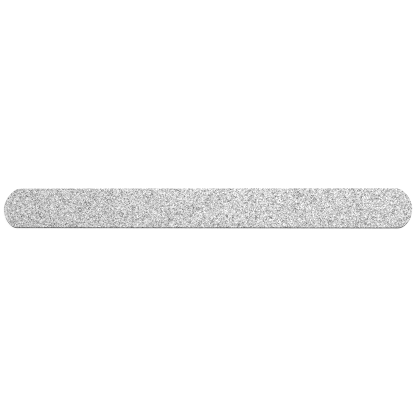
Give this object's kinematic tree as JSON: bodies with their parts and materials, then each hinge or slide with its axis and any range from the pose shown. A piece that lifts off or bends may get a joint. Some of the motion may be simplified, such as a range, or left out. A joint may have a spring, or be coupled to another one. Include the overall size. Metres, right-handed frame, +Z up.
{
  "type": "foot file",
  "caption": "Straight flat abrasive board with rounded ends, for filing hard skin and nails, with coarse salt-and-pepper grit on both faces of a thin plastic core.",
  "frame": {"origin": "on the underside, at the middle of the board's length and width", "axes": "+X along the board's length, +Y across its width, +Z up through its thickness"},
  "size_m": [0.178, 0.019, 0.0012],
  "materials": {
    "core_plastic": "satin polystyrene strip, grey, with die marks on its cut edge",
    "glue": "clear yellowish adhesive film",
    "backing_paper": "matt heavy grey paper with a fibrous cut edge",
    "resin": "cured dull resin bed",
    "grit": "coarse crystalline grit, mixed white, grey and black grains"
  },
  "bodies": {
    "root": {"core_plate": "core_plastic", "top_glue_film": "glue", "bottom_glue_film": "glue", "top_backing_paper": "backing_paper", "bottom_backing_paper": "backing_paper", "top_resin_coat": "resin", "bottom_resin_coat": "resin", "top_grit_layer": "grit", "bottom_grit_layer": "grit"}
  },
  "joints": []
}
